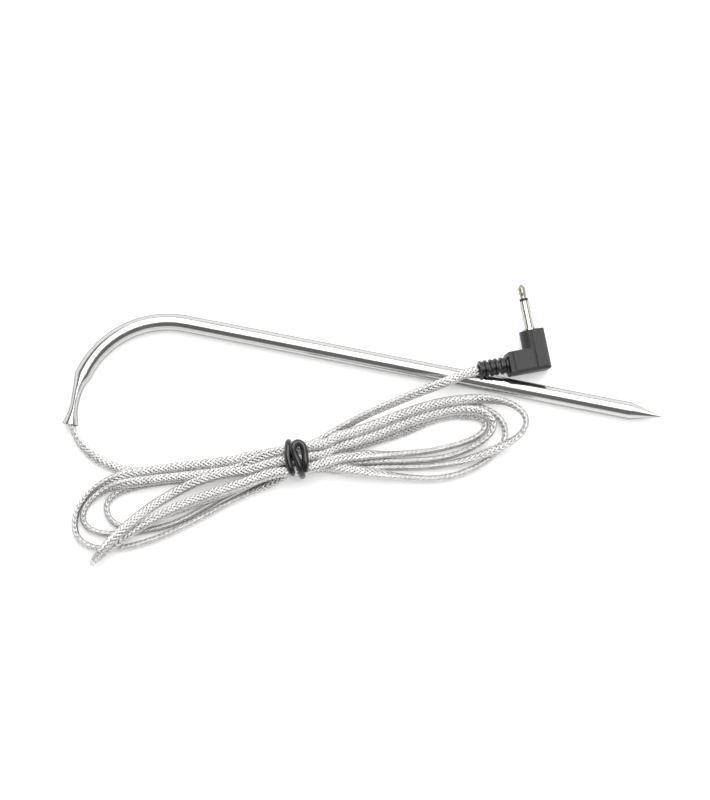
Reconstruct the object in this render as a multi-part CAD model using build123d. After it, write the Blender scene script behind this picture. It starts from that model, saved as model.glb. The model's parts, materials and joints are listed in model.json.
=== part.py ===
from build123d import *
import os
from math import cos, degrees, radians, sin, sqrt, tan

# A grill meat probe: a bent stainless needle with a thermistor in its point, a flat braided cable
# gathered in a tied hank, and a right-angle mono plug on a ribbed strain relief.
# Millimetres. +Z is up, and the probe lies on z = 0. The needle runs along +X and the bent end
# points to -Y. The origin is the bottom centre of the box round the probe itself.

# Needle and its bent end
tube_diameter = 4.75
tube_wall = 0.25
needle_length = 135.7        # from the point to the start of the bend
point_length = 8.9           # the solid cone
spigot_length = 3.0          # the cone's shank inside the tube
bend_radius = 26.0           # to the tube's centre line
tail_length = 8.0            # straight run from the bend to the mouth
pinch_length = 15.4          # the pinched stretch, measured back from the mouth
neck_width = 2.25            # across the pinch at its narrowest
neck_place = 6.7             # distance of the narrowest place from the mouth
mouth_width = 4.55

# Sensor and the two wires in the needle
bead_diameter = 1.8
bead_length = 2.6
paste_length = 8.0
lead_diameter = 0.25
lead_length = 30.0
lead_sleeve_diameter = 0.7
wire_diameter = 0.5
wire_jacket_diameter = 0.9
wire_offset = 0.5            # each wire above or below the tube's centre line
ferrule_diameter = 0.74
ferrule_length = 4.0
shrink_diameter = 0.96
shrink_length = 9.0
wire_end_place = 11.6        # distance from the mouth at which the wires enter the cable

# Cable
cable_width = 2.8
cable_thickness = 1.7        # squeezed in the neck
cable_gap = 0.15             # between the cable's end and the strain relief
cable_in_crimp_end = 0.9     # distance from the mouth at which the gripped stretch ends
hank_height = 5.6
waist_width = 7.7            # the bundle where the tie holds it
waist_height = 5.4
waist_length = 13.0
waist_centre = (-15.7, -15.7)
waist_angle = 20.0           # direction of the bundle at the tie, from +X

# Tie: a coated wire wound twice round the bundle
tie_diameter = 1.9
tie_core_diameter = 0.7
tie_gap = 0.05
tie_pitch = 2.1
tie_corner = 2.4

# Strain relief
boot_diameter = 4.9
boot_core_diameter = 3.7
boot_length = 8.3
boot_ribs = 6
rib_width = 0.8
boot_angle = 22.5            # direction of the boot from +X, seen from above
boot_pitch = 10.3            # the plug tilts down to where its far edge meets the table
boot_place = 29.35           # x of the centre of the boot's rear end
boot_needle_gap = 0.228      # between the boot's rear end and the needle it lies against

# Plug housing, in its own axes: x along the boot, y along the pin, z up
housing_gap = 0.1            # between the strain relief and the housing
arm_width = 6.4
housing_thickness = 6.4
column_width = 6.7
column_top = 8.3
pin_place = 16.6             # the pin's axis, from the boot's rear end
plate_height = 0.35          # raised panels on the upper face
collar_length = 1.3          # plain rim beside the strain relief
edge_round = 0.3

# Contacts
pin_diameter = 2.5
pin_length = 13.3            # from the housing to the tip
flange_diameter = 4.2
flange_thickness = 0.5
tip_length = 4.1
tip_diameter = 2.0
tip_waist_diameter = 1.6
ring_width = 0.8
barrel_shank_diameter = 3.2
barrel_bore = 1.7
insulator_bore = 0.94
rod_diameter = 0.9
rod_end = -1.5
barrel_end = 1.2
collar_diameter = 3.8
collar_height = 0.6
tag_thickness = 0.3
tag_width = 1.4
tag_start = 11.8
plug_wire_start = 8.5
plug_wire_end = 12.8
plug_jacket_end = 11.5
solder_length = 0.8
solder_width = 1.0
solder_film = 0.1            # solder between a wire and its tag
mould_width = 4.6
mould_corner = 1.0            # keeps the mould inside the round column

clearance = 0.02             # between pieces that fit in each other

# Worked out from the sizes above
tube_radius = tube_diameter / 2
bore_radius = tube_radius - tube_wall
probe_length = needle_length + bend_radius + tube_radius
probe_depth = tube_radius + bend_radius + tail_length
tip_x = probe_length / 2
needle_y = probe_depth / 2 - tube_radius
bend_start_x = tip_x - needle_length
bend_centre = (bend_start_x, needle_y - bend_radius)
mouth_x = bend_start_x - bend_radius
mouth_y = -probe_depth / 2
axis_z = tube_radius


def bar(x0, x1, y, z, diameter):
    """A round bar along X from x0 to x1."""
    return Pos((x0 + x1) / 2, y, z) * Rot(0, 90, 0) * Cylinder(diameter / 2, x1 - x0)


def post(y0, y1, x, diameter):
    """A round post along Y from y0 to y1, on the plug's middle plane."""
    return Pos(x, (y0 + y1) / 2, 0) * Rot(90, 0, 0) * Cylinder(diameter / 2, y1 - y0)


def block(x0, x1, y0, y1, z0, z1):
    """A box between two corners."""
    size = Box(x1 - x0, y1 - y0, z1 - z0)
    return Pos((x0 + x1) / 2, (y0 + y1) / 2, (z0 + z1) / 2) * size


def tail_plane(place):
    """The plane across the tube at a distance from the mouth, with its x across and its y up."""
    turn = max(0.0, place - tail_length) / bend_radius
    straight = min(place, tail_length)
    centre = (
        bend_centre[0] - bend_radius * cos(turn),
        mouth_y + straight + bend_radius * sin(turn),
        axis_z,
    )
    return Plane(centre, x_dir=(cos(turn), -sin(turn), 0), z_dir=(-sin(turn), -cos(turn), 0))


def needle_path(start_x, end_place, rise=0.0):
    """Straight along the needle, then round the bend to a distance from the mouth."""
    turn = degrees((end_place - tail_length) / bend_radius)
    corner = (bend_start_x, needle_y, axis_z + rise)
    straight = Line((start_x, needle_y, axis_z + rise), corner)
    centre = Plane((bend_centre[0], bend_centre[1], axis_z + rise))
    curve = CenterArc((0, 0, 0), bend_radius, 90, 90 - turn)
    return Wire([straight.edge(), (centre.location * curve).edge()])


def along_needle(section, start_x, end_place, rise=0.0):
    """A section carried along the needle's path."""
    start = Plane((start_x, needle_y, axis_z + rise), x_dir=(0, 1, 0), z_dir=(-1, 0, 0))
    return sweep(start * section, path=needle_path(start_x, end_place, rise))


# ---- needle ----

def pinch(inset):
    """The pinched end: ovals that narrow to the neck and flare to the mouth, less an inset."""
    widths = [
        (pinch_length, tube_diameter),
        (pinch_length - 1.9, tube_diameter - 0.45),
        (neck_place + 4.9, neck_width + 0.95),
        (neck_place + 2.4, neck_width + 0.3),
        (neck_place, neck_width),
        (neck_place - 2.4, neck_width + 0.15),
        (neck_place - 4.1, neck_width + 0.85),
        (0.0, mouth_width),
    ]
    ovals = []
    for place, width in widths:
        oval = Ellipse(width / 2 - inset, tube_radius - inset)
        ovals.append(tail_plane(place) * oval)
    return loft(ovals)


def make_sheath_tube():
    ring = Circle(tube_radius) - Circle(bore_radius)
    round_part = along_needle(ring, tip_x - point_length, pinch_length)
    return round_part + (pinch(0.0) - pinch(tube_wall))


def make_probe_point():
    base = tip_x - point_length
    nose = 0.15
    outline = Polyline(
        (base - spigot_length, 0),
        (base - spigot_length, bore_radius - clearance),
        (base, bore_radius - clearance),
        (base, tube_radius),
        (tip_x - nose, nose),
        (tip_x, 0),
        close=True,
    )
    solid = revolve(make_face(outline), axis=Axis.X)
    return Pos(0, needle_y, axis_z) * solid


paste_end = tip_x - point_length - spigot_length - clearance
paste_start = paste_end - paste_length
bead_x = paste_end - 1.0 - bead_length / 2
lead_end = bead_x - 0.5
splice_x = lead_end - lead_length
wire_start = splice_x - 0.1
rises = (wire_offset, -wire_offset)


def bead_shape(grow=0.0):
    """A glass drop: a ball drawn out along X."""
    ball = Sphere(bead_diameter / 2 + grow)
    stretch = bead_length / bead_diameter
    return Pos(bead_x, needle_y, axis_z) * scale(ball, by=(stretch, 1, 1))


def leads(grow=0.0):
    """The thermistor's two leads."""
    return [
        bar(splice_x, lead_end, needle_y, axis_z + rise, lead_diameter + 2 * grow) for rise in rises
    ]


def make_thermistor_bead():
    return bead_shape() - leads(clearance)


def make_thermal_paste():
    plug = bar(paste_start, paste_end, needle_y, axis_z, 2 * (bore_radius - clearance))
    return plug - bead_shape(clearance) - leads(clearance)


def make_lead_sleeves():
    start = splice_x + ferrule_length / 2 + 3.0
    sleeves = []
    for rise in rises:
        outside = bar(start, paste_start - 0.1, needle_y, axis_z + rise, lead_sleeve_diameter)
        sleeves.append(outside - leads(clearance))
    return Compound(children=sleeves)


def sleeve_at(x, length, outside, inside, rise):
    """A short tube along X."""
    span = (x - length / 2, x + length / 2)
    return bar(*span, needle_y, axis_z + rise, outside) - bar(*span, needle_y, axis_z + rise, inside)


def make_splice_ferrules():
    inside = wire_diameter + 2 * clearance
    return Compound(
        children=[sleeve_at(splice_x, ferrule_length, ferrule_diameter, inside, r) for r in rises]
    )


def make_splice_sleeves():
    inside = ferrule_diameter + 2 * clearance
    return Compound(
        children=[sleeve_at(splice_x, shrink_length, shrink_diameter, inside, r) for r in rises]
    )


def make_wire_core(rise):
    return along_needle(Circle(wire_diameter / 2), wire_start, wire_end_place, rise)


def make_wire_jacket(rise):
    ring = Circle(wire_jacket_diameter / 2) - Circle(wire_diameter / 2 + clearance / 2)
    start = splice_x - shrink_length / 2 - 0.1
    return along_needle(ring, start, wire_end_place, rise)


# ---- cable ----

hank_left = [
    (-20.8, -20.6),
    (-27.0, -27.2),
    (-39.0, -37.2),
    (-49.0, -45.2),
    (-59.3, -50.6),
    (-65.8, -54.2),
    (-70.2, -50.6),
    (-73.6, -46.4),
    (-73.9, -41.0),
    (-71.8, -35.6),
    (-67.0, -31.4),
    (-59.5, -28.4),
    (-45.0, -22.4),
    (-31.0, -17.2),
    (-22.0, -13.6),
]
hank_right = [
    (-9.8, -17.7),
    (0.0, -16.2),
    (12.0, -14.9),
    (20.5, -14.6),
    (28.0, -13.0),
    (35.0, -8.0),
    (39.6, -2.6),
    (43.8, 0.8),
    (46.2, 5.3),
    (45.2, 9.3),
    (41.5, 11.9),
    (36.0, 12.3),
    (28.0, 10.6),
    (20.0, 7.8),
    (9.5, 2.4),
    (-2.6, -4.8),
    (-9.4, -9.4),
]
probe_end_route = [
    (-79.5, -18.4, 2.4),
    (-77.7, -21.7, 2.2),
    (-74.3, -24.9, 1.8),
    (-69.0, -27.3, 1.45),
    (-62.0, -28.5, 1.4),
    (-54.5, -26.9, 1.4),
]
plug_end_route = [
    (-11.8, -10.6, 5.9),
    (-6.4, -6.1, 5.2),
    (-0.4, -1.1, 4.6),
    (6.6, 4.0, 4.8),
    (14.0, 9.2, 6.2),
    (20.3, 13.6, 7.9),
    (25.2, 16.68, 7.5),
]


def cord_tube(points, diameter, smallest):
    """Straight runs joined by tangent arcs, as large as each corner's two runs allow."""
    corners = [Vector(*p) for p in points]
    radii = []
    for before, here, after in zip(corners, corners[1:], corners[2:]):
        turn = (here - before).get_angle(after - here)
        run = min((here - before).length, (after - here).length)
        radii.append(0.45 * run / tan(radians(turn / 2)))
    print("corner radii", [round(r, 1) for r in radii], "smallest allowed", smallest)
    path = FilletPolyline(*corners, radius=radii)
    start = Plane(corners[0], z_dir=corners[1] - corners[0])
    tube = sweep(start * Circle(diameter / 2), path=path)
    print("tube", round(path.length, 1), "mm, volume over section x length",
          round(tube.volume / (path.length * Circle(diameter / 2).area), 4))
    return tube


def waist_frame():
    """Axes of the bundle at the tie: x along it, y across it, z up."""
    centre = (waist_centre[0], waist_centre[1], tie_diameter + tie_gap + waist_height / 2 + 0.2)
    direction = (cos(radians(waist_angle)), sin(radians(waist_angle)), 0)
    return Plane(centre, x_dir=direction, z_dir=(0, 0, 1))


def make_cable_hank():
    """The outer shape of the loops: a flat lobe each side of the waist that the tie holds."""
    lobes = []
    for outline in (hank_left, hank_right):
        face = make_face(Spline(*outline, periodic=True))
        lobes.append(extrude(face, hank_height))
    bundle = extrude(Plane.YZ * Ellipse(waist_width / 2, waist_height / 2), waist_length)
    waist = waist_frame().location * (Pos(-waist_length / 2, 0, 0) * bundle)
    return lobes[0] + lobes[1] + waist


def make_cable_in_crimp():
    oval = Ellipse(cable_thickness / 2, cable_width / 2)
    start = tail_plane(wire_end_place - 0.1)
    turn = degrees((wire_end_place - 0.1 - tail_length) / bend_radius)
    centre = Plane((bend_centre[0], bend_centre[1], axis_z))
    curve = centre.location * CenterArc((0, 0, 0), bend_radius, 180 - turn, turn)
    tail_start = (mouth_x, mouth_y + tail_length, axis_z)
    straight = Line(tail_start, (mouth_x, mouth_y + cable_in_crimp_end, axis_z))
    return sweep(start * oval, path=Wire([curve.edge(), straight.edge()]))


# ---- tie ----

def tie_path():
    """Twice round the bundle, with both ends tucked at its lower side."""
    side = waist_width / 2 + tie_gap + tie_diameter / 2
    top = waist_height / 2 + tie_gap + tie_diameter / 2
    step = tie_pitch / 4
    first = -1.4
    square = [(-side, top), (side, top), (side, -top), (-side, -top)]
    points = [(first - 0.4, -side - 0.2, -top + 2.2)]
    for count in range(8):
        across, up = square[count % 4]
        points.append((first + count * step, across, up))
    points.append((first + 8 * step + 0.4, -side - 0.7, -top + 4.4))
    return FilletPolyline(*points, radius=[tie_corner] * 7 + [1.4])


def tie_piece(section):
    path = tie_path()
    start = Plane(path @ 0, z_dir=path % 0)
    return waist_frame().location * sweep(start * section, path=path)


# ---- strain relief and plug, in the plug's own axes ----

housing_end = pin_place + column_width / 2
half_thick = housing_thickness / 2
boot_height = housing_end * sin(radians(boot_pitch)) + half_thick * cos(radians(boot_pitch))
reach = tube_radius + boot_diameter / 2 + boot_needle_gap
boot_beside = sqrt(max(0.0, reach**2 - (boot_height - axis_z) ** 2))
plug_frame = Plane(
    (boot_place, needle_y + boot_beside, boot_height),
    x_dir=(
        cos(radians(boot_angle)) * cos(radians(boot_pitch)),
        sin(radians(boot_angle)) * cos(radians(boot_pitch)),
        -sin(radians(boot_pitch)),
    ),
    z_dir=(
        cos(radians(boot_angle)) * sin(radians(boot_pitch)),
        sin(radians(boot_angle)) * sin(radians(boot_pitch)),
        cos(radians(boot_pitch)),
    ),
)
housing_start = boot_length + housing_gap
half_arm = arm_width / 2
shoulder_y = column_top + flange_thickness
pin_tip = column_top + pin_length
ring_end = pin_tip - tip_length
ring_start = ring_end - ring_width
barrel_tag_y = barrel_end + collar_height / 2
tip_tag_y = rod_end - tag_thickness / 2
wire_heights = (
    barrel_tag_y - tag_thickness / 2 - wire_diameter / 2 - solder_film,
    tip_tag_y + tag_thickness / 2 + wire_diameter / 2 + solder_film,
)


def make_strain_relief():
    boot = bar(0, boot_length, 0, 0, boot_core_diameter)
    pitch = (boot_length - rib_width) / (boot_ribs - 1)
    for rib in range(boot_ribs):
        boot += bar(rib * pitch, rib * pitch + rib_width, 0, 0, boot_diameter)
    return boot - bar(0, boot_length, 0, 0, cable_width + 2 * clearance)


def make_cable_in_boot():
    return bar(0, boot_length, 0, 0, cable_width)


def barrel_shape(grow=0.0):
    """The sleeve contact: rear collar, shank, flange and pin."""
    body = post(barrel_end - grow, barrel_end + collar_height + grow, pin_place, collar_diameter + 2 * grow)
    body += post(barrel_end, column_top, pin_place, barrel_shank_diameter + 2 * grow)
    body += post(column_top, shoulder_y, pin_place, flange_diameter)
    return body + post(shoulder_y, ring_start, pin_place, pin_diameter)


def make_plug_barrel():
    return barrel_shape() - post(barrel_end, ring_start, pin_place, barrel_bore)


def make_plug_bore_insulator():
    outside = post(barrel_end - 0.9, ring_start, pin_place, barrel_bore - 2 * clearance)
    return outside - post(barrel_end - 0.9, ring_start, pin_place, insulator_bore)


def make_plug_ring_insulator():
    outside = post(ring_start, ring_end, pin_place, pin_diameter - 0.04)
    return outside - post(ring_start, ring_end, pin_place, insulator_bore)


def make_plug_tip_contact():
    """A rod through the barrel with a waisted, rounded head."""
    tip_radius = tip_diameter / 2
    waist_radius = tip_waist_diameter / 2
    outline = Polyline(
        (0, rod_end),
        (rod_diameter / 2, rod_end),
        (rod_diameter / 2, ring_end),
        (waist_radius, ring_end),
        (waist_radius, ring_end + 0.7),
        (tip_radius - 0.06, ring_end + 1.5),
        (tip_radius, pin_tip - 1.2),
        (tip_radius - 0.08, pin_tip - 1.0),
        (0.3, pin_tip - 0.1),
        (0.15, pin_tip),
        (0, pin_tip),
        close=True,
    )
    return Pos(pin_place, 0, 0) * revolve(make_face(outline), axis=Axis.Y)


def tag(y, end, grow=0.0):
    """A flat solder tag at a height on the pin's axis."""
    half = tag_thickness / 2 + grow
    return block(tag_start - grow, end, y - half, y + half, -tag_width / 2 - grow, tag_width / 2 + grow)


def make_barrel_tag(grow=0.0):
    return tag(barrel_tag_y, pin_place - collar_diameter / 2 - clearance, grow)


def make_tip_tag(grow=0.0):
    return tag(tip_tag_y, pin_place + rod_diameter, grow)


def plug_wires(start, end, diameter):
    return [bar(start, end, y, 0, diameter) for y in wire_heights]


def make_plug_wire_jackets():
    jackets = plug_wires(plug_wire_start, plug_jacket_end, wire_jacket_diameter)
    cores = plug_wires(plug_wire_start, plug_jacket_end, wire_diameter + clearance)
    return Compound(children=[j - c for j, c in zip(jackets, cores)])


def solder_blobs(grow=0.0):
    """A bead of solder round each wire's end, flat where it meets the tag above or below it."""
    start = tag_start + 0.1
    half = solder_width / 2 + grow
    blobs = []
    for y, side in zip(wire_heights, (1, -1)):
        near = y + side * (wire_diameter / 2 + solder_film - clearance + grow)
        far = y - side * half
        low, high = sorted((near, far))
        blobs.append(block(start - grow, start + solder_length + grow, low, high, -half, half))
    return blobs


def make_solder_joints():
    wires = plug_wires(plug_wire_start, plug_wire_end, wire_diameter + clearance)
    return Compound(children=[blob - wire for blob, wire in zip(solder_blobs(), wires)])


def mould_shape(grow=0.0):
    half = mould_width / 2 + grow
    core = block(pin_place - half, pin_place + half, -half, column_top - 1.0 + grow, -half, half)
    return chamfer(core.edges().filter_by(Axis.Y), mould_corner)


def make_plug_inner_mould():
    core = mould_shape()
    core -= barrel_shape(clearance)
    core -= post(rod_end, barrel_end, pin_place, barrel_bore + 2 * clearance)
    return core - make_barrel_tag(clearance) - make_tip_tag(clearance)


def make_plug_housing():
    """An angled body: a squared arm, and a column that is round inside and squared outside."""
    arm = block(housing_start, housing_end, -half_arm, half_arm, -half_thick, half_thick)
    column = post(-half_arm, column_top, pin_place, 2 * half_thick)
    column += block(pin_place, housing_end, -half_arm, column_top, -half_thick, half_thick)
    outside = arm + column
    far_edges = outside.edges().filter_by(Axis.Y).group_by(Axis.X)[-1]
    outside = chamfer(far_edges, 0.7)
    lower_edges = outside.faces().sort_by(Axis.Y)[0].edges().filter_by(Axis.X)
    outside = chamfer(lower_edges, 0.5)
    outside = fillet(outside.edges().filter_by(Axis.Z), edge_round)
    panel_low = half_thick - 0.1
    panel_top = half_thick + plate_height
    arm_panel = block(
        housing_start + collar_length,
        pin_place - 0.9,
        -half_arm + 0.65,
        half_arm - 0.35,
        panel_low,
        panel_top,
    )
    column_panel = block(
        pin_place - 0.5,
        housing_end - 0.9,
        -half_arm + 0.65,
        column_top - 0.1,
        panel_low,
        panel_top,
    )
    for panel in (arm_panel, column_panel):
        top_edges = panel.faces().sort_by(Axis.Z)[-1].edges()
        outside += chamfer(top_edges, 0.15)
    outside -= mould_shape(clearance)
    outside -= post(barrel_end, column_top, pin_place, barrel_shank_diameter + 2 * clearance)
    outside -= make_barrel_tag(clearance)
    outside -= make_tip_tag(clearance)
    outside -= solder_blobs(clearance)
    outside -= plug_wires(housing_start, plug_wire_end + 0.1, wire_jacket_diameter + 2 * clearance)
    return outside


# ---- write every piece ----

def write(name, shape):
    export_step(shape, f"parts/{name}.step")


def on_plug(shape):
    return plug_frame.location * shape


os.makedirs("parts", exist_ok=True)

write("sheath_tube", make_sheath_tube())
write("probe_point", make_probe_point())
write("thermistor_bead", make_thermistor_bead())
write("thermistor_leads", Compound(children=leads()))
write("lead_sleeves", make_lead_sleeves())
write("thermal_paste", make_thermal_paste())
write("splice_ferrules", make_splice_ferrules())
write("splice_sleeves", make_splice_sleeves())
for letter, height in zip("ab", rises):
    write(f"wire_core_{letter}", make_wire_core(height))
    write(f"wire_jacket_{letter}", make_wire_jacket(height))

hank = make_cable_hank()
write("cable_in_crimp", make_cable_in_crimp())
write("cable_hank", hank)
boot_rear = (plug_frame.location * Pos(-cable_gap, 0, 0)).position
probe_end = cord_tube(probe_end_route, cable_width, 3 * cable_width)
plug_end = cord_tube(
    plug_end_route + [(boot_rear.X, boot_rear.Y, boot_rear.Z)], cable_width, 3 * cable_width
)
write("cable_probe_end", (probe_end - hank).solids().sort_by(SortBy.VOLUME)[-1])
write("cable_plug_end", (plug_end - hank).solids().sort_by(SortBy.VOLUME)[-1])
write("tie_core", tie_piece(Circle(tie_core_diameter / 2)))
write("tie_coat", tie_piece(Circle(tie_diameter / 2) - Circle(tie_core_diameter / 2)))

write("strain_relief", on_plug(make_strain_relief()))
write("cable_in_boot", on_plug(make_cable_in_boot()))
write("plug_housing", on_plug(make_plug_housing()))
write("plug_inner_mould", on_plug(make_plug_inner_mould()))
write("plug_barrel", on_plug(make_plug_barrel()))
write("plug_bore_insulator", on_plug(make_plug_bore_insulator()))
write("plug_ring_insulator", on_plug(make_plug_ring_insulator()))
write("plug_tip_contact", on_plug(make_plug_tip_contact()))
write("barrel_solder_tag", on_plug(make_barrel_tag()))
write("tip_solder_tag", on_plug(make_tip_tag()))
write("solder_joints", on_plug(make_solder_joints()))
plug_cores = plug_wires(plug_wire_start, plug_wire_end, wire_diameter)
write("plug_wire_cores", on_plug(Compound(children=plug_cores)))
write("plug_wire_jackets", on_plug(make_plug_wire_jackets()))

hinge = plug_frame.location * Pos(boot_length / 2, 0, 0)
print("plug hinge", hinge.position, "pin direction", plug_frame.y_dir)
pin_middle = plug_frame.location * Pos(pin_place, (shoulder_y + ring_start) / 2, 0)
print("pin middle", pin_middle.position, "length", ring_start - shoulder_y)
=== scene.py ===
import json
from math import cos, pi, radians, sin

import bpy
import numpy as np
from mathutils import Matrix, Vector


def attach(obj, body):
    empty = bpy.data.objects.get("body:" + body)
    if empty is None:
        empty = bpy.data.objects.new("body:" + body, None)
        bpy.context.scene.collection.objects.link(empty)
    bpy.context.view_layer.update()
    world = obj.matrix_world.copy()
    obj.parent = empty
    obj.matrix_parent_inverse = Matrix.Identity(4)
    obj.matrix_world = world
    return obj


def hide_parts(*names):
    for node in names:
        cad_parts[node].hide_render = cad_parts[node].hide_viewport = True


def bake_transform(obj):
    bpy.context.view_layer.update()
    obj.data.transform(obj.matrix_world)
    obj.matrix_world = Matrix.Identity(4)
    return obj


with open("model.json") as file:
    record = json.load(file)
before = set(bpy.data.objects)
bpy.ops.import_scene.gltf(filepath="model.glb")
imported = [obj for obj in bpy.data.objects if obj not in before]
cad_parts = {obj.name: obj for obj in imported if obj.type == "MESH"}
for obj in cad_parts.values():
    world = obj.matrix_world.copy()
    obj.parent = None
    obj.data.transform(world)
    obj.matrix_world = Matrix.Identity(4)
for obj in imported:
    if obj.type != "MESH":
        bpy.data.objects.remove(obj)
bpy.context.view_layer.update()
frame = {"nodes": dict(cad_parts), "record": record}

# A grill meat probe on a pale table: a bent needle, a flat braided cable in a tied hank, and a
# right-angle plug. Metres. The needle runs along +X and the table is z = 0.

NODES = frame["nodes"]
SCENE = bpy.context.scene
MM = 0.001

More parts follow.
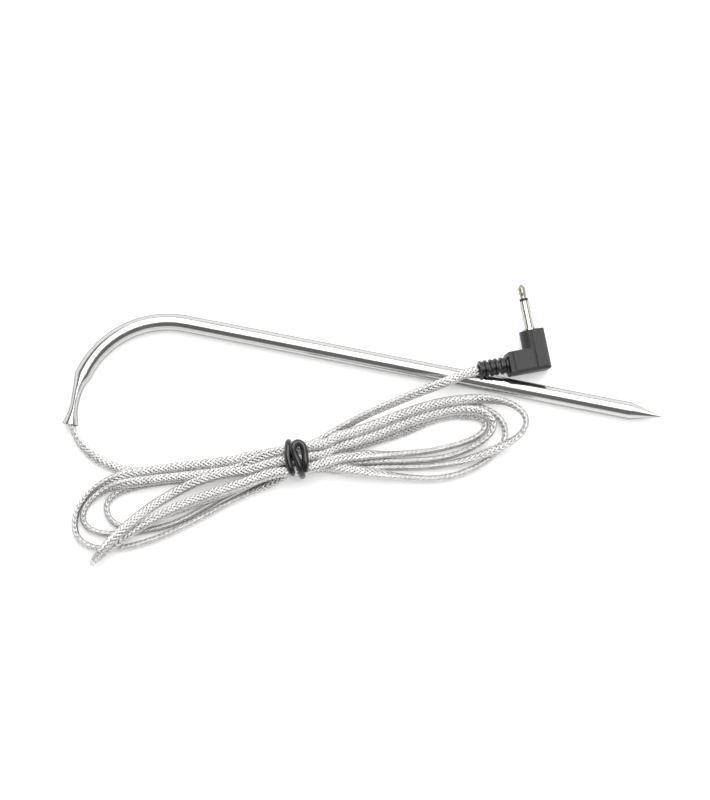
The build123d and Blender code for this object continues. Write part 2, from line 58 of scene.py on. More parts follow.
# The cable's route: points of one smooth line, with how far the flat cable is turned on its edge
CABLE = [
    # from the crimp to the tie
    (-0.0797, -0.0176, 0.0024, 1), (-0.0776, -0.0213, 0.0022, 0.9), (-0.0750, -0.0238, 0.0018, 0.6),
    (-0.0718, -0.0257, 0.0014, 0.3), (-0.0678, -0.0270, 0.0010, 0), (-0.0625, -0.0279, 0.0009, 0),
    (-0.0575, -0.0274, 0.0009, 0), (-0.0527, -0.0257, 0.0009, 0), (-0.0461, -0.0233, 0.0009, 0),
    (-0.0380, -0.0209, 0.0009, 0), (-0.0313, -0.0185, 0.0009, 0), (-0.0252, -0.0159, 0.0017, 0),
    (-0.0195, -0.0142, 0.0029, 0), (-0.0138, -0.0121, 0.0030, 0),
    # second loop on the right
    (-0.0080, -0.0101, 0.0019, 0), (-0.0028, -0.0073, 0.0010, 0), (0.0028, -0.0040, 0.0009, 0),
    (0.0104, 0.0012, 0.0009, 0), (0.0182, 0.0053, 0.0009, 0), (0.0239, 0.0077, 0.0009, 0),
    (0.0288, 0.0086, 0.0010, 0.3), (0.0328, 0.0086, 0.0014, 0.8), (0.0361, 0.0078, 0.0015, 1),
    (0.0385, 0.0061, 0.0015, 1), (0.0399, 0.0039, 0.0015, 1), (0.0402, 0.0016, 0.0015, 1),
    (0.0396, -0.0009, 0.0015, 1), (0.0380, -0.0036, 0.0015, 1), (0.0357, -0.0062, 0.0015, 1),
    (0.0328, -0.0087, 0.0015, 1), (0.0292, -0.0110, 0.0015, 1), (0.0253, -0.0127, 0.0016, 1),
    (0.0213, -0.0138, 0.0017, 1), (0.0152, -0.0146, 0.0019, 0.9), (0.0096, -0.0150, 0.0028, 0.5),
    (0.0040, -0.0154, 0.0041, 0.1), (-0.0023, -0.0158, 0.0047, 0), (-0.0072, -0.0158, 0.0048, 0),
    (-0.0120, -0.0173, 0.0048, 0), (-0.0176, -0.0193, 0.0048, 0),
    # inner loop on the left
    (-0.0222, -0.0214, 0.0047, 0), (-0.0273, -0.0245, 0.0040, 0), (-0.0336, -0.0286, 0.0038, 0),
    (-0.0400, -0.0324, 0.0032, 0.1), (-0.0451, -0.0356, 0.0022, 0.6), (-0.0501, -0.0388, 0.0015, 0.9),
    (-0.0545, -0.0415, 0.0014, 1), (-0.0576, -0.0431, 0.0014, 1), (-0.0605, -0.0434, 0.0014, 1),
    (-0.0629, -0.0425, 0.0014, 1), (-0.0645, -0.0409, 0.0014, 1), (-0.0653, -0.0387, 0.0014, 1),
    (-0.0648, -0.0366, 0.0015, 1), (-0.0631, -0.0345, 0.0014, 0.9), (-0.0604, -0.0325, 0.0012, 0.5),
    (-0.0569, -0.0306, 0.0010, 0.1), (-0.0520, -0.0288, 0.0010, 0), (-0.0453, -0.0268, 0.0011, 0),
    (-0.0382, -0.0245, 0.0012, 0), (-0.0313, -0.0220, 0.0016, 0), (-0.0241, -0.0191, 0.0034, 0),
    (-0.0186, -0.0167, 0.0051, 0), (-0.0129, -0.0147, 0.0049, 0),
    # inner loop on the right
    (-0.0082, -0.0131, 0.0044, 0), (-0.0055, -0.0110, 0.0036, 0), (-0.0013, -0.0091, 0.0029, 0),
    (0.0049, -0.0059, 0.0014, 0), (0.0117, -0.0023, 0.0009, 0), (0.0189, 0.0025, 0.0014, 0.8),
    (0.0246, 0.0051, 0.0013, 0.8), (0.0283, 0.0057, 0.0012, 0.3), (0.0314, 0.0059, 0.0014, 0.8),
    (0.0334, 0.0053, 0.0015, 1), (0.0343, 0.0040, 0.0014, 1), (0.0338, 0.0022, 0.0014, 1),
    (0.0320, 0.0001, 0.0014, 1), (0.0290, -0.0019, 0.0014, 1), (0.0250, -0.0039, 0.0015, 1),
    (0.0203, -0.0060, 0.0015, 1), (0.0144, -0.0078, 0.0017, 0.9), (0.0095, -0.0091, 0.0020, 0.8),
    (0.0047, -0.0102, 0.0029, 0.4), (-0.0001, -0.0117, 0.0044, 0), (-0.0043, -0.0133, 0.0059, 0),
    (-0.0072, -0.0151, 0.0070, 0), (-0.0116, -0.0177, 0.0071, 0), (-0.0173, -0.0198, 0.0070, 0),
    # folded end on the left
    (-0.0215, -0.0209, 0.0067, 0), (-0.0271, -0.0242, 0.0060, 0), (-0.0336, -0.0280, 0.0056, 0),
    (-0.0400, -0.0316, 0.0050, 0), (-0.0451, -0.0349, 0.0045, 0), (-0.0501, -0.0386, 0.0042, 0),
    (-0.0543, -0.0420, 0.0041, 0), (-0.0577, -0.0451, 0.0041, 0), (-0.0607, -0.0484, 0.0041, 0.2),
    (-0.0629, -0.0509, 0.0037, 0.5), (-0.0642, -0.0528, 0.0030, 0.8), (-0.0653, -0.0543, 0.0031, 1),
    (-0.0657, -0.0549, 0.0050, 1), (-0.0651, -0.0534, 0.0067, 1), (-0.0638, -0.0512, 0.0071, 0.7),
    (-0.0616, -0.0478, 0.0065, 0.3), (-0.0586, -0.0435, 0.0058, 0), (-0.0552, -0.0392, 0.0050, 0),
    (-0.0517, -0.0354, 0.0043, 0), (-0.0480, -0.0321, 0.0039, 0), (-0.0446, -0.0293, 0.0041, 0),
    (-0.0411, -0.0268, 0.0047, 0), (-0.0370, -0.0247, 0.0051, 0), (-0.0323, -0.0227, 0.0053, 0),
    (-0.0285, -0.0218, 0.0058, 0), (-0.0232, -0.0187, 0.0066, 0), (-0.0186, -0.0167, 0.0069, 0),
    (-0.0129, -0.0147, 0.0067, 0),
    # third loop on the right
    (-0.0082, -0.0129, 0.0063, 0), (-0.0061, -0.0105, 0.0055, 0), (-0.0015, -0.0082, 0.0048, 0),
    (0.0047, -0.0047, 0.0037, 0), (0.0113, -0.0001, 0.0033, 0), (0.0185, 0.0038, 0.0034, 0),
    (0.0243, 0.0064, 0.0034, 0), (0.0288, 0.0073, 0.0037, 0.1), (0.0322, 0.0074, 0.0038, 0.4),
    (0.0347, 0.0065, 0.0040, 0.6), (0.0363, 0.0048, 0.0037, 0.6), (0.0361, 0.0026, 0.0034, 0.7),
    (0.0347, 0.0002, 0.0030, 0.8), (0.0324, -0.0022, 0.0023, 0.9), (0.0294, -0.0044, 0.0018, 1),
    (0.0256, -0.0066, 0.0015, 1), (0.0208, -0.0084, 0.0015, 1), (0.0132, -0.0103, 0.0015, 1),
    (0.0072, -0.0115, 0.0015, 0.9), (0.0017, -0.0124, 0.0017, 0.5), (-0.0033, -0.0133, 0.0019, 0.1),
    (-0.0079, -0.0136, 0.0025, 0), (-0.0128, -0.0146, 0.0028, 0), (-0.0184, -0.0167, 0.0027, 0),
    # second loop on the left
    (-0.0227, -0.0197, 0.0020, 0), (-0.0243, -0.0223, 0.0014, 0.3), (-0.0278, -0.0248, 0.0013, 0.7),
    (-0.0335, -0.0293, 0.0014, 1), (-0.0395, -0.0347, 0.0014, 1), (-0.0439, -0.0384, 0.0014, 1),
    (-0.0490, -0.0415, 0.0014, 1), (-0.0553, -0.0441, 0.0014, 1), (-0.0607, -0.0457, 0.0015, 1),
    (-0.0648, -0.0463, 0.0015, 1), (-0.0679, -0.0460, 0.0015, 1), (-0.0700, -0.0450, 0.0016, 1),
    (-0.0712, -0.0431, 0.0017, 1), (-0.0712, -0.0407, 0.0018, 1), (-0.0700, -0.0381, 0.0020, 1),
    (-0.0680, -0.0356, 0.0022, 0.9), (-0.0654, -0.0335, 0.0027, 0.7), (-0.0625, -0.0319, 0.0033, 0.3),
    (-0.0584, -0.0305, 0.0037, 0), (-0.0535, -0.0289, 0.0035, 0), (-0.0463, -0.0266, 0.0032, 0),
    (-0.0382, -0.0240, 0.0030, 0), (-0.0313, -0.0216, 0.0034, 0), (-0.0283, -0.0190, 0.0047, 0),
    (-0.0240, -0.0162, 0.0058, 0), (-0.0195, -0.0141, 0.0069, 0), (-0.0139, -0.0120, 0.0071, 0),
    # outer loop on the right
    (-0.0082, -0.0101, 0.0072, 0), (-0.0063, -0.0076, 0.0069, 0), (-0.0021, -0.0056, 0.0058, 0),
    (0.0036, -0.0022, 0.0046, 0), (0.0106, 0.0023, 0.0044, 0), (0.0178, 0.0064, 0.0043, 0),
    (0.0244, 0.0090, 0.0044, 0), (0.0298, 0.0106, 0.0036, 0), (0.0342, 0.0113, 0.0037, 0.4),
    (0.0382, 0.0114, 0.0039, 0.8), (0.0415, 0.0107, 0.0041, 1), (0.0439, 0.0092, 0.0044, 1),
    (0.0452, 0.0072, 0.0046, 1), (0.0450, 0.0048, 0.0046, 1), (0.0436, 0.0023, 0.0043, 0.8),
    (0.0410, -0.0001, 0.0041, 0.4), (0.0378, -0.0024, 0.0039, 0.2), (0.0337, -0.0049, 0.0033, 0.4),
    (0.0291, -0.0074, 0.0023, 0.8), (0.0238, -0.0095, 0.0016, 1), (0.0179, -0.0112, 0.0014, 1),
    (0.0118, -0.0124, 0.0014, 1), (0.0058, -0.0136, 0.0014, 0.9), (0.0004, -0.0149, 0.0013, 0.5),
    (-0.0045, -0.0163, 0.0014, 0.1), (-0.0071, -0.0162, 0.0023, 0), (-0.0119, -0.0175, 0.0029, 0),
    (-0.0175, -0.0195, 0.0029, 0),
    # outer loop on the left
    (-0.0211, -0.0231, 0.0019, 0.2), (-0.0267, -0.0269, 0.0014, 0.8), (-0.0329, -0.0317, 0.0014, 1),
    (-0.0391, -0.0369, 0.0014, 1), (-0.0435, -0.0404, 0.0014, 1), (-0.0490, -0.0443, 0.0014, 1),
    (-0.0562, -0.0483, 0.0014, 1), (-0.0621, -0.0502, 0.0014, 1), (-0.0663, -0.0507, 0.0014, 1),
    (-0.0696, -0.0500, 0.0014, 1), (-0.0718, -0.0484, 0.0014, 1), (-0.0729, -0.0460, 0.0014, 1),
    (-0.0733, -0.0430, 0.0014, 1), (-0.0728, -0.0399, 0.0014, 1), (-0.0715, -0.0370, 0.0014, 1),
    (-0.0696, -0.0344, 0.0015, 0.8), (-0.0669, -0.0322, 0.0018, 0.4), (-0.0636, -0.0300, 0.0024, 0.1),
    (-0.0597, -0.0282, 0.0027, 0), (-0.0549, -0.0266, 0.0027, 0), (-0.0480, -0.0241, 0.0027, 0),
    (-0.0394, -0.0215, 0.0027, 0), (-0.0319, -0.0189, 0.0028, 0), (-0.0290, -0.0172, 0.0029, 0),
    (-0.0242, -0.0157, 0.0039, 0), (-0.0195, -0.0141, 0.0048, 0), (-0.0141, -0.0121, 0.0048, 0),
    # from the tie to the strain relief
    (-0.0103, -0.0096, 0.0048, 0.2), (-0.0074, -0.0069, 0.0048, 0.4), (-0.0038, -0.0035, 0.0050, 0.6),
    (0.0009, 0.0002, 0.0053, 0.6), (0.0064, 0.0040, 0.0058, 0.5), (0.0119, 0.0076, 0.0066, 0.4),
    (0.0175, 0.0111, 0.0075, 0.2), (0.0221, 0.0138, 0.0081, 0), (0.0256, 0.0168, 0.0075, 0),
    (0.0292, 0.0183, 0.0067, 0),
]

# The tie's wire, from its pointed end to its cut end: along the bundle, across it and up
TIE = [
    (-0.0017, -0.0046, 0.0022), (-0.0020, -0.0034, 0.0035), (-0.0024, -0.0010, 0.0038),
    (-0.0024, 0.0010, 0.0038), (-0.0020, 0.0030, 0.0037), (-0.0016, 0.0050, 0.0022),
    (-0.0013, 0.0050, -0.0016), (-0.0010, 0.0036, -0.0038), (-0.0004, 0.0000, -0.0038),
    (0.0003, -0.0036, -0.0038), (0.0008, -0.0050, -0.0016), (0.0008, -0.0049, 0.0020),
    (0.0005, -0.0033, 0.0038), (0.0002, -0.0010, 0.0039), (-0.0005, 0.0012, 0.0040),
    (-0.0007, 0.0027, 0.0042), (0.0000, 0.0040, 0.0041), (0.0013, 0.0043, 0.0039),
    (0.0024, 0.0031, 0.0039), (0.0025, 0.0008, 0.0038), (0.0023, -0.0016, 0.0038),
    (0.0019, -0.0032, 0.0036), (0.0016, -0.0043, 0.0029),
]
TIE_CENTRE = np.array([-0.0157, -0.0157, 0.00485])
TIE_TURN = radians(20)
TIE_RADIUS = 0.95 * MM
TIE_CORE_RADIUS = 0.36 * MM

# Cable sizes
CORE_HALF_WIDTH = 1.27 * MM
CORE_HALF_THICKNESS = 0.75 * MM
BRAID_HALF_WIDTH = 1.31 * MM
BRAID_HALF_THICKNESS = 0.79 * MM
BRAID_WAVE = 0.09 * MM
BRAID_BANDS = 8
BRAID_LEAD = 11.2 * MM
BAND_WIDTH = 0.6 * MM
BAND_THICKNESS = 0.1 * MM
CABLE_STEP = 0.45 * MM

# The plug's own axes: x along the strain relief, y along the pin
BOOT_REAR = np.array([29.35, 18.3996, 6.7155]) * MM
BOOT_X = np.array([0.909, 0.3765, -0.1788])
BOOT_Y = np.array([-0.382683, 0.92388, 0.0])
BOOT_Z = np.cross(BOOT_X, BOOT_Y)
BOOT_LENGTH = 8.3 * MM
BOOT_BORE_RADIUS = 1.47 * MM
BOOT_CORE_RADIUS = 1.8 * MM
BOOT_RIB_RADIUS = 2.45 * MM
BOOT_RIBS = 6
BOOT_RIB_PITCH = 1.5 * MM

# The camera, and the width that it sees at the object
CAMERA_AZIMUTH = radians(11.14)
CAMERA_ELEVATION = radians(84)
CAMERA_DISTANCE = 1.6
CAMERA_TARGET = Vector((-0.00302, 0.0039, 0.0024))
SEEN_WIDTH = 0.1983
SENSOR_WIDTH = 36

# Light: the panel's radiance, the surround's strength low down and overhead, and the table's glow
PANEL_RADIANCE = 3.1
SURROUND_LOW = 1.3
SURROUND_HIGH = 0.2
TABLE_GLOW = 0.3


# ---- mesh helpers ----

def mesh_piece(name, points, faces, body, uv=None, smooth=True):
    """A mesh object from whole arrays of points and faces, riding on a body."""
    mesh = bpy.data.meshes.new(name)
    mesh.from_pydata(points, [], faces)
    if uv is not None:
        layer = mesh.uv_layers.new(name="UVMap")
        corners = np.empty(len(mesh.loops), dtype=np.int32)
        mesh.loops.foreach_get("vertex_index", corners)
        layer.data.foreach_set("uv", uv[corners].astype(np.float32).ravel())
    mesh.polygons.foreach_set("use_smooth", [smooth] * len(mesh.polygons))
    mesh.validate()
    mesh.update()
    piece = bpy.data.objects.new(name, mesh)
    SCENE.collection.objects.link(piece)
    if body:
        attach(piece, body)
    return piece


def tube_faces(rings, sides, first=0):
    """Quads between neighbouring rings of a closed tube, and a cap on each end.

    Ring i holds points first + i * sides onward, counted anticlockwise about the path."""
    i, j = np.meshgrid(np.arange(rings - 1), np.arange(sides), indexing="ij")
    a = first + i * sides + j
    b = first + i * sides + (j + 1) % sides
    quads = np.stack([a, b, b + sides, a + sides], axis=-1).reshape(-1, 4).tolist()
    start = list(range(first, first + sides))[::-1]
    end = list(range(first + (rings - 1) * sides, first + rings * sides))
    return quads + [start, end]


def smooth_along(values, width):
    """Each row averaged with its neighbours under a bell of the given width in rows."""
    reach = int(3 * width)
    bell = np.exp(-0.5 * (np.arange(-reach, reach + 1) / width) ** 2)
    bell /= bell.sum()
    padded = np.pad(values, ((reach, reach), (0, 0)), mode="edge")
    columns = [np.convolve(padded[:, k], bell, mode="valid") for k in range(values.shape[1])]
    return np.stack(columns, axis=1)


def unit(vectors):
    return vectors / np.maximum(np.linalg.norm(vectors, axis=-1, keepdims=True), 1e-12)


# ---- cable ----

def spline_points(points, name):
    """Points read along the smooth NURBS line that the route's points control."""
    curve = bpy.data.curves.new(name, "CURVE")
    curve.dimensions = "3D"
    spline = curve.splines.new("NURBS")
    spline.points.add(len(points) - 1)
    spline.points.foreach_set("co", np.column_stack([points, np.ones(len(points))]).ravel())
    spline.order_u = 3
    spline.use_endpoint_u = True
    spline.resolution_u = 24
    holder = bpy.data.objects.new(name, curve)
    SCENE.collection.objects.link(holder)
    bpy.context.view_layer.update()
    mesh = bpy.data.meshes.new_from_object(holder)
    line = np.empty(len(mesh.vertices) * 3)
    mesh.vertices.foreach_get("co", line)
    bpy.data.objects.remove(holder)
    bpy.data.meshes.remove(mesh)
    return line.reshape(-1, 3)


def cable_line():
    """Even steps along the cable, with the direction of its width at each.

    The fourth number of a route point is how far the flat cable is turned on its edge there: 0 lies
    flat and 1 stands on edge. The width is cos(turn) * level normal + sin(turn) * the other normal,
    evened out over 2.5 mm as a tensor, so that a half turn of the same oval makes no twist."""
    route = np.array(CABLE)
    fine = spline_points(route[:, :3], "cable_route")
    turns = spline_points(np.column_stack([route[:, 3], 0 * route[:, 3], 0 * route[:, 3]]), "turns")
    steps = np.linalg.norm(np.diff(fine, axis=0), axis=1)
    along = np.concatenate([[0.0], np.cumsum(steps)])
    count = int(round(along[-1] / CABLE_STEP)) + 1
    even = np.linspace(0, along[-1], count)
    line = np.stack([np.interp(even, along, fine[:, k]) for k in range(3)], axis=1)
    turn = np.interp(even, along, turns[:, 0]) * pi / 2
    ahead = unit(np.gradient(line, axis=0))
    level = np.cross([0.0, 0.0, 1.0], ahead)
    trust = np.linalg.norm(level, axis=1) ** 2
    level = unit(level)
    other = np.cross(ahead, level)
    wide = np.cos(turn)[:, None] * level + np.sin(turn)[:, None] * other
    tensor = (wide[:, :, None] * wide[:, None, :] * trust[:, None, None]).reshape(-1, 9)
    tensor = smooth_along(tensor, 2.5 * MM / CABLE_STEP).reshape(-1, 3, 3)
    flat = np.eye(3)[None] - ahead[:, :, None] * ahead[:, None, :]
    tensor = flat @ tensor @ flat
    wide = np.linalg.eigh(tensor)[1][:, :, 2]
    same = np.sign(np.einsum("ij,ij->i", wide[1:], wide[:-1]))
    wide[1:] *= np.cumprod(np.where(same == 0, 1, same))[:, None]
    return line, even, ahead, unit(wide)


def make_cable_core(line, ahead, wide):
    """An oval tube: centre + a cos(t) width + b sin(t) thickness, round each point of the line."""
    thick = np.cross(ahead, wide)
    sides = 14
    t = np.linspace(0, 2 * pi, sides, endpoint=False)
    rings = (
        line[:, None]
        + CORE_HALF_WIDTH * np.cos(t)[None, :, None] * wide[:, None]
        + CORE_HALF_THICKNESS * np.sin(t)[None, :, None] * thick[:, None]
    )
    faces = tube_faces(len(line), sides)
    return mesh_piece("cable_core", rings.reshape(-1, 3), faces, "root")


def make_braid(name, line, even, ahead, wide, hand):
    """Flat bands wound one way round the cable, two over and two under the bands of the other way.

    Band j of n is at the angle t = 2 pi (j / n + hand * s / lead) at distance s, at
    centre + (a + h) cos(t) width + (b + h) sin(t) thickness, where h is a wave,
    hand * w cos(pi / 2 (2 j + hand * 2 n s / lead - 1 / 2)). Its section is a low trapezium."""
    thick = np.cross(ahead, wide)
    bands = np.arange(BRAID_BANDS)[:, None]
    t = 2 * pi * (bands / BRAID_BANDS + hand * even[None] / BRAID_LEAD)
    crossings = 2 * BRAID_BANDS * even[None] / BRAID_LEAD
    lift = hand * BRAID_WAVE * np.cos(pi / 2 * (2 * bands + hand * crossings - 0.5))
    a = (BRAID_HALF_WIDTH + lift) * np.cos(t)
    b = (BRAID_HALF_THICKNESS + lift) * np.sin(t)
    centre = line[None] + a[..., None] * wide[None] + b[..., None] * thick[None]
    out = unit(
        (np.cos(t) / BRAID_HALF_WIDTH)[..., None] * wide[None]
        + (np.sin(t) / BRAID_HALF_THICKNESS)[..., None] * thick[None]
    )
    run = unit(np.gradient(centre, axis=1))
    side = unit(np.cross(out, run))
    half, low = BAND_WIDTH / 2, BAND_THICKNESS / 2
    section = [(-half, -low), (half, -low), (0.62 * half, low), (-0.62 * half, low)]
    corners = np.stack([centre + x * side + z * out for x, z in section], axis=2)
    points = corners.reshape(-1, 3)
    faces = []
    for j in range(BRAID_BANDS):
        faces += tube_faces(len(line), 4, j * len(line) * 4)
    u = np.broadcast_to(even[None, :, None] / BAND_WIDTH, corners.shape[:3])
    v = np.broadcast_to(np.array([0.0, 1.0, 0.81, 0.19])[None, None], corners.shape[:3])
    uv = np.stack([u, v], axis=-1).reshape(-1, 2)
    return mesh_piece(name, points, faces, "root", uv)


# ---- tie ----

def carried_frames(line):
    """Two directions square to the line at each point, carried along it without twist."""
    ahead = unit(np.gradient(line, axis=0))
    first = unit(np.cross(ahead[0], [0.31, 0.2, 0.93]))
    sides = [first]
    for direction in ahead[1:]:
        sides.append(unit(sides[-1] - (sides[-1] @ direction) * direction))
    sides = np.array(sides)
    return sides, np.cross(ahead, sides)


def make_round_wire(name, line, radii, sides):
    """A round tube: centre + r (cos(t) side + sin(t) other), with its own radius at each point."""
    side, other = carried_frames(line)
    t = np.linspace(0, 2 * pi, sides, endpoint=False)
    rings = line[:, None] + radii[:, None, None] * (
        np.cos(t)[None, :, None] * side[:, None] + np.sin(t)[None, :, None] * other[:, None]
    )
    return mesh_piece(name, rings.reshape(-1, 3), tube_faces(len(line), sides), "root")


def tie_line():
    """The tie's smooth line in the row's axes, in even steps of a quarter of a millimetre."""
    local = spline_points(np.array(TIE), "tie_route")
    along = np.concatenate([[0.0], np.cumsum(np.linalg.norm(np.diff(local, axis=0), axis=1))])
    even = np.arange(0, along[-1], 0.25 * MM)
    local = np.stack([np.interp(even, along, local[:, k]) for k in range(3)], axis=1)
    turn = np.array([
        [cos(TIE_TURN), sin(TIE_TURN), 0], [-sin(TIE_TURN), cos(TIE_TURN), 0], [0, 0, 1],
    ])
    return TIE_CENTRE + local @ turn, even


def make_tie():
    """A coated wire: the coat thins to a blunt point at one end, is cut square at the other, and
    swells and thins by 3% where it was bent."""
    line, even = tie_line()
    left = even[-1] - even
    radii = TIE_RADIUS * (1 + 0.03 * np.sin(even / (0.9 * MM)) * np.sin(even / (2.3 * MM)))
    radii *= 0.45 + 0.55 * step_up(even, 0.6 * MM, 1.6 * MM)
    radii *= np.sqrt(np.clip(1 - (1 - np.clip(left / (0.5 * MM), 0, 1)) ** 2 * 0.75, 0, 1))
    coat = make_round_wire("tie_wire_coat", line, radii, 24)
    middle = line[2:-1]
    metal = make_round_wire(
        "tie_wire_core", middle, np.full(len(middle), TIE_CORE_RADIUS), 12
    )
    return coat, metal


# ---- strain relief ----

def boot_point(x, y, z):
    """A place in the plug's own axes."""
    return BOOT_REAR + x[..., None] * BOOT_X + y[..., None] * BOOT_Y + z[..., None] * BOOT_Z


def step_up(x, start, width):
    """A smooth rise from 0 to 1 that is half way at start."""
    t = np.clip((x - start) / width + 0.5, 0, 1)
    return t * t * (3 - 2 * t)


def make_boot():
    """A ribbed sleeve: radius = core + rib height * (ribs + bridges), turned about the boot's axis.

    A rib is a smooth step up and down along x. A bridge joins two ribs over part of the turn, a
    quarter turn on at each gap, so the slots between are staggered."""
    x = np.linspace(0, BOOT_LENGTH, 250)[:, None]
    t = np.linspace(0, 2 * pi, 96, endpoint=False)[None]
    height = np.zeros((250, 96))
    for k in range(BOOT_RIBS):
        place = BOOT_RIB_PITCH * k
        ribs = step_up(x, place + 0.06 * MM, 0.2 * MM) - step_up(x, place + 0.8 * MM, 0.2 * MM)
        height = np.maximum(height, ribs * np.ones_like(t))
        gap = step_up(x, place + 0.7 * MM, 0.2 * MM) - step_up(x, place + 1.6 * MM, 0.2 * MM)
        if k < BOOT_RIBS - 1:
            bridge = step_up(np.cos(2 * (t - k * pi / 2 - 0.6)), 0.84, 0.1)
            height = np.maximum(height, 0.7 * gap * bridge)
    ends = step_up(x, 0.02 * MM, 0.25 * MM) * (1 - step_up(x, BOOT_LENGTH - 0.02 * MM, 0.25 * MM))
    depth = BOOT_RIB_RADIUS - BOOT_CORE_RADIUS
    radius = BOOT_CORE_RADIUS + depth * height - 0.22 * MM * (1 - ends)
    outside = boot_point(x + 0 * t, radius * np.cos(t), radius * np.sin(t))
    back = x[::-25]
    bore = boot_point(
        back + 0 * t,
        BOOT_BORE_RADIUS * np.cos(t) + 0 * back,
        BOOT_BORE_RADIUS * np.sin(t) + 0 * back,
    )
    rings = np.concatenate([outside, bore])
    faces = tube_faces(len(rings), 96)[:-2]
    last = (len(rings) - 1) * 96
    j = np.arange(96)
    faces += np.stack([last + j, last + (j + 1) % 96, (j + 1) % 96, j], axis=1).tolist()
    return mesh_piece("boot", rings.reshape(-1, 3), faces, None)


def make_boot_cable():
    """The cable inside the strain relief: an oval tube along the boot's axis."""
    x = np.linspace(0.1 * MM, BOOT_LENGTH - 0.05 * MM, 24)[:, None]
    t = np.linspace(0, 2 * pi, 28, endpoint=False)[None]
    across, up = 1.38 * MM * np.cos(t) + 0 * x, 0.86 * MM * np.sin(t) + 0 * x
    rings = boot_point(x + 0 * t, across, up)
    faces = tube_faces(24, 28)
    return mesh_piece("boot_cable", rings.reshape(-1, 3), faces, None)


# ---- finishes ----

def shader_group(name, inputs, outputs):
    """An empty group of shader nodes with named sockets."""
    group = bpy.data.node_groups.new(name, "ShaderNodeTree")
    for label, kind, value in inputs:
        made = group.interface.new_socket(label, in_out="INPUT", socket_type=kind)
        if value is not None:
            made.default_value = value
    for label, kind in outputs:
        group.interface.new_socket(label, in_out="OUTPUT", socket_type=kind)
    return group, group.nodes.new("NodeGroupInput"), group.nodes.new("NodeGroupOutput")


def mottle_group():
    """Cloudy marks and a fine grain: two noises, given as a mask from 0 to 1 and a height."""
    group, enter, leave = shader_group(
        "Mottle and grain",
        [
            ("Vector", "NodeSocketVector", None),
            ("Cloud scale", "NodeSocketFloat", 200.0),
            ("Grain scale", "NodeSocketFloat", 4000.0),
            ("Contrast", "NodeSocketFloat", 0.3),
        ],
        [("Mask", "NodeSocketFloat"), ("Height", "NodeSocketFloat")],
    )
    link = group.links.new
    cloud = group.nodes.new("ShaderNodeTexNoise")
    cloud.inputs["Detail"].default_value = 4
    grain = group.nodes.new("ShaderNodeTexNoise")
    grain.inputs["Detail"].default_value = 2
    link(enter.outputs["Vector"], cloud.inputs["Vector"])
    link(enter.outputs["Vector"], grain.inputs["Vector"])
    link(enter.outputs["Cloud scale"], cloud.inputs["Scale"])
    link(enter.outputs["Grain scale"], grain.inputs["Scale"])
    both = group.nodes.new("ShaderNodeMath")
    both.operation = "ADD"
    link(cloud.outputs["Fac"], both.inputs[0])
    link(grain.outputs["Fac"], both.inputs[1])
    low = group.nodes.new("ShaderNodeMath")
    low.operation = "SUBTRACT"
    low.inputs[0].default_value = 1.0
    link(enter.outputs["Contrast"], low.inputs[1])
    high = group.nodes.new("ShaderNodeMath")
    high.operation = "ADD"
    high.inputs[0].default_value = 1.0
    link(enter.outputs["Contrast"], high.inputs[1])
    span = group.nodes.new("ShaderNodeMapRange")
    link(both.outputs[0], span.inputs["Value"])
    link(low.outputs[0], span.inputs["From Min"])
    link(high.outputs[0], span.inputs["From Max"])
    link(span.outputs["Result"], leave.inputs["Mask"])
    link(grain.outputs["Fac"], leave.inputs["Height"])
    return group


def finish(name, dark, light, rough, metal=0.0, cloud=150.0, grain=3000.0, stretch=(1, 1, 1),
           bump=0.1, depth=0.02, coat=0.0, contrast=0.3, uv=False, rim=1.0):
    """A finish whose colour and roughness go between two values under the mottle's mask."""
    made = bpy.data.materials.new(name)
    made.use_nodes = True
    tree = made.node_tree
    link = tree.links.new
    shader = tree.nodes["Principled BSDF"]
    shader.inputs["Metallic"].default_value = metal
    shader.inputs["Coat Weight"].default_value = coat
    shader.inputs["Coat Roughness"].default_value = 0.12
    shader.inputs["Specular Tint"].default_value = (rim, rim, rim, 1)
    where = tree.nodes.new("ShaderNodeTexCoord")
    place = tree.nodes.new("ShaderNodeMapping")
    place.inputs["Scale"].default_value = stretch
    link(where.outputs["UV" if uv else "Object"], place.inputs["Vector"])
    marks = tree.nodes.new("ShaderNodeGroup")
    marks.node_tree = MOTTLE
    marks.inputs["Cloud scale"].default_value = cloud
    marks.inputs["Grain scale"].default_value = grain
    marks.inputs["Contrast"].default_value = contrast
    link(place.outputs["Vector"], marks.inputs["Vector"])
    colour = tree.nodes.new("ShaderNodeMix")
    colour.data_type = "RGBA"
    colour.inputs[6].default_value = (*dark, 1)
    colour.inputs[7].default_value = (*light, 1)
    link(marks.outputs["Mask"], colour.inputs[0])
    link(colour.outputs[2], shader.inputs["Base Color"])
    gloss = tree.nodes.new("ShaderNodeMapRange")
    gloss.inputs["To Min"].default_value = rough[0]
    gloss.inputs["To Max"].default_value = rough[1]
    link(marks.outputs["Mask"], gloss.inputs["Value"])
    link(gloss.outputs["Result"], shader.inputs["Roughness"])
    relief = tree.nodes.new("ShaderNodeBump")
    relief.inputs["Strength"].default_value = bump
    relief.inputs["Distance"].default_value = depth * MM
    link(marks.outputs["Height"], relief.inputs["Height"])
    link(relief.outputs["Normal"], shader.inputs["Normal"])
    return made


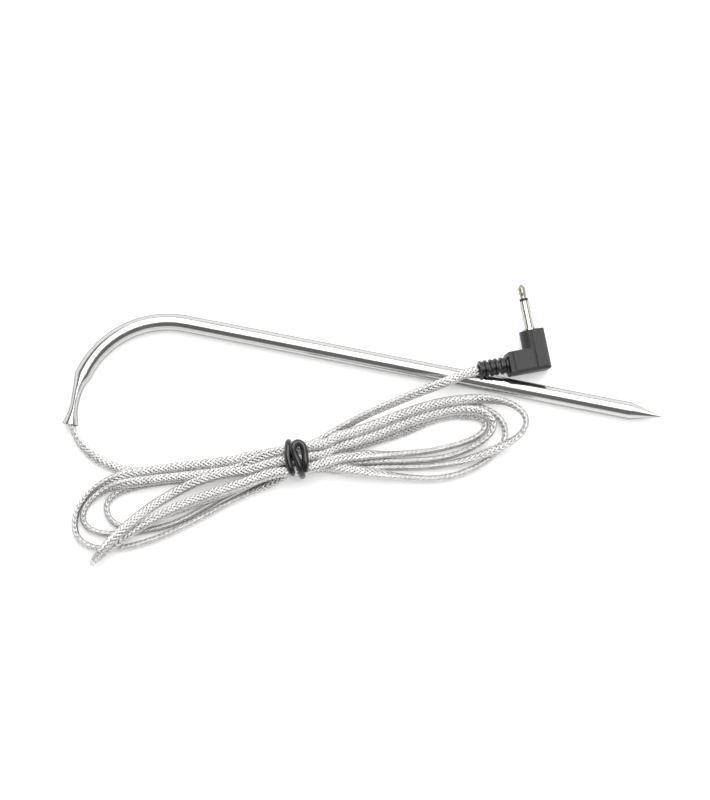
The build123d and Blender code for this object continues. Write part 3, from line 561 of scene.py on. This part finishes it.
def braid_finish():
    """Bright steel wires lying side by side in each band: ridges across the band's own map."""
    made = finish(
        "braided stainless wire", (0.65, 0.64, 0.63), (0.9, 0.89, 0.88), (0.2, 0.34), metal=1.0,
        cloud=0.35, grain=3.0, stretch=(0.6, 6.0, 1.0), bump=0.2, contrast=0.25, uv=True,
    )
    tree = made.node_tree
    link = tree.links.new
    where = next(n for n in tree.nodes if n.type == "TEX_COORD")
    relief = next(n for n in tree.nodes if n.type == "BUMP")
    wires = tree.nodes.new("ShaderNodeTexWave")
    wires.bands_direction = "Y"
    wires.inputs["Scale"].default_value = 1.6
    wires.inputs["Distortion"].default_value = 0.0
    link(where.outputs["UV"], wires.inputs["Vector"])
    relief.inputs["Strength"].default_value = 0.6
    relief.inputs["Distance"].default_value = 0.05 * MM
    for old in list(relief.inputs["Height"].links):
        tree.links.remove(old)
    link(wires.outputs["Fac"], relief.inputs["Height"])
    return made


def paint(piece, made):
    """Puts one finish on every slot of a piece."""
    if not piece.material_slots:
        piece.data.materials.append(made)
    for entry in piece.material_slots:
        entry.material = made


MOTTLE = mottle_group()
FINISHES = {
    "polished_stainless": finish(
        "polished stainless", (0.5, 0.5, 0.49), (0.62, 0.62, 0.61), (0.12, 0.22), metal=1.0,
        cloud=60, grain=900, stretch=(0.03, 1.0, 1.0), bump=0.05, depth=0.01, contrast=0.35, rim=0.2,
    ),
    "sensor_glass": finish(
        "sensor glass", (0.1, 0.05, 0.03), (0.2, 0.11, 0.07),
        (0.12, 0.3), coat=0.4,
    ),
    "tinned_wire": finish(
        "tinned wire", (0.6, 0.59, 0.56), (0.8, 0.79, 0.76),
        (0.3, 0.5), metal=1.0,
    ),
    "wire_insulation": finish("wire insulation", (0.8, 0.79, 0.73), (0.9, 0.89, 0.85), (0.3, 0.45)),
    "sensor_filler": finish(
        "sensor filler", (0.74, 0.72, 0.66), (0.86, 0.84, 0.79),
        (0.7, 0.95), bump=0.3,
    ),
    "tinned_brass": finish(
        "tinned brass", (0.6, 0.57, 0.5), (0.78, 0.76, 0.7),
        (0.3, 0.5), metal=1.0,
    ),
    "black_sleeve": finish("shrunk sleeve", (0.02, 0.02, 0.02), (0.05, 0.05, 0.05), (0.5, 0.7)),
    "braided_cable": braid_finish(),
    "tie_steel": finish("soft iron wire", (0.4, 0.4, 0.4), (0.6, 0.6, 0.6), (0.4, 0.6), metal=1.0),
    "tie_vinyl": finish(
        "glossy black coating", (0.004, 0.004, 0.004), (0.012, 0.012, 0.012), (0.14, 0.26),
        cloud=500, grain=2500, bump=0.25, depth=0.03, coat=0.3,
    ),
    "black_vinyl": finish(
        "black moulded vinyl", (0.006, 0.006, 0.007), (0.016, 0.016, 0.017), (0.22, 0.36),
        cloud=400, grain=5000, bump=0.3, depth=0.02,
    ),
    "black_housing": finish(
        "dark satin housing", (0.008, 0.008, 0.009), (0.03, 0.03, 0.032), (0.4, 0.58),
        cloud=1300, grain=5200, bump=0.6, depth=0.04, contrast=0.22,
    ),
    "inner_plastic": finish("natural plastic", (0.74, 0.73, 0.68), (0.84, 0.83, 0.78), (0.4, 0.55)),
    "nickel_plate": finish(
        "bright nickel plate", (0.5, 0.475, 0.44), (0.64, 0.61, 0.57), (0.08, 0.18), metal=1.0,
        cloud=120, grain=3000, bump=0.05, depth=0.01, rim=0.15,
    ),
    "ring_plastic": finish(
        "black insulator", (0.01, 0.01, 0.01), (0.025, 0.025, 0.025),
        (0.25, 0.4),
    ),
    "solder": finish(
        "bright solder", (0.55, 0.55, 0.55), (0.75, 0.75, 0.75),
        (0.25, 0.5), metal=1.0,
    ),
}
# Near-black painted shade for the cable's core and the cable in the boot: it shows between the
# braid's bands and in the boot's bore where only shade would fall
PAINTED_SHADE_CORE = finish(
    "cable core in painted shade", (0.012, 0.012, 0.012), (0.035, 0.033, 0.031),
    (0.6, 0.8), grain=6000,
)

for part in frame["record"]["subparts"]:
    paint(NODES[part["node"]], FINISHES[part["material_slot"]])
paint(NODES["plug_tip_contact"], finish(
    "turned nickel tip", (0.3, 0.285, 0.26), (0.44, 0.42, 0.39), (0.2, 0.34), metal=1.0,
    cloud=700, grain=3000, bump=0.05, depth=0.01, rim=0.1,
))

# ---- pieces ----

line, even, ahead, wide = cable_line()
core = make_cable_core(line, ahead, wide)
# the core is coloured near-black as painted shade that shows between the braid's bands
paint(core, PAINTED_SHADE_CORE)
braid_right = make_braid("braid_right_hand", line, even, ahead, wide, 1)
braid_left = make_braid("braid_left_hand", line, even, ahead, wide, -1)
paint(braid_right, FINISHES["braided_cable"])
paint(braid_left, FINISHES["braided_cable"])
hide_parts("cable_probe_end", "cable_hank", "cable_plug_end")

tie_coat, tie_core = make_tie()
paint(tie_coat, FINISHES["tie_vinyl"])
paint(tie_core, FINISHES["tie_steel"])
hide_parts("tie_coat")
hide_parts("tie_core")

boot = make_boot()
paint(boot, FINISHES["black_vinyl"])
boot_cable = make_boot_cable()
# the cable in the boot is coloured near-black as painted shade inside the bore
paint(boot_cable, PAINTED_SHADE_CORE)
for piece in (boot, boot_cable):
    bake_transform(piece)
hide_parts("strain_relief")
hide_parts("cable_in_boot")

# ---- table, light and camera ----

table = mesh_piece(
    "table", [(-1.5, -1.5, 0), (1.5, -1.5, 0), (1.5, 1.5, 0), (-1.5, 1.5, 0)], [(0, 1, 2, 3)],
    "root",
)
pale = finish("pale table", (0.9, 0.9, 0.9), (0.93, 0.93, 0.93), (0.7, 0.9), cloud=4, grain=300)
pale_shader = pale.node_tree.nodes["Principled BSDF"]
pale_shader.inputs["Emission Color"].default_value = (1, 1, 1, 1)
pale_shader.inputs["Emission Strength"].default_value = TABLE_GLOW
paint(table, pale)


def panel(name, place, size, radiance):
    """A soft square light of a given brightness that faces the object."""
    light = bpy.data.lights.new(name, "AREA")
    light.shape = "RECTANGLE"
    light.size, light.size_y = size
    light.energy = radiance * pi * size[0] * size[1]
    lamp = bpy.data.objects.new(name, light)
    SCENE.collection.objects.link(lamp)
    turn = (-Vector(place)).to_track_quat("-Z", "Y").to_matrix().to_4x4()
    lamp.matrix_world = Matrix.Translation(place) @ turn
    return lamp


panel("back_panel", (0.0, 0.33, 0.62), (1.0, 0.85), PANEL_RADIANCE)

world = bpy.data.worlds.new("studio")
SCENE.world = world
world.use_nodes = True
sky = world.node_tree
where = sky.nodes.new("ShaderNodeTexCoord")
split = sky.nodes.new("ShaderNodeSeparateXYZ")
fade = sky.nodes.new("ShaderNodeMapRange")
fade.interpolation_type = "SMOOTHSTEP"
fade.inputs["From Min"].default_value = 0.25
fade.inputs["From Max"].default_value = 0.5
fade.inputs["To Min"].default_value = SURROUND_LOW
fade.inputs["To Max"].default_value = SURROUND_HIGH
sky.links.new(where.outputs["Generated"], split.inputs[0])
sky.links.new(split.outputs["Z"], fade.inputs["Value"])
sky.links.new(fade.outputs["Result"], sky.nodes["Background"].inputs["Strength"])
sky.nodes["Background"].inputs["Color"].default_value = (1, 1, 1, 1)

camera_data = bpy.data.cameras.new("camera")
camera = bpy.data.objects.new("camera", camera_data)
SCENE.collection.objects.link(camera)
toward = Vector((
    sin(CAMERA_AZIMUTH) * cos(CAMERA_ELEVATION),
    -cos(CAMERA_AZIMUTH) * cos(CAMERA_ELEVATION),
    sin(CAMERA_ELEVATION),
))
right = Vector((cos(CAMERA_AZIMUTH), sin(CAMERA_AZIMUTH), 0))
up = toward.cross(right)
axes = Matrix((right, up, toward)).transposed().to_4x4()
camera.matrix_world = Matrix.Translation(CAMERA_TARGET + CAMERA_DISTANCE * toward) @ axes
camera_data.sensor_fit = "HORIZONTAL"
camera_data.sensor_width = SENSOR_WIDTH
camera_data.lens = SENSOR_WIDTH * CAMERA_DISTANCE / SEEN_WIDTH
camera_data.clip_end = 20
SCENE.camera = camera
SCENE.view_settings.view_transform = "Standard"
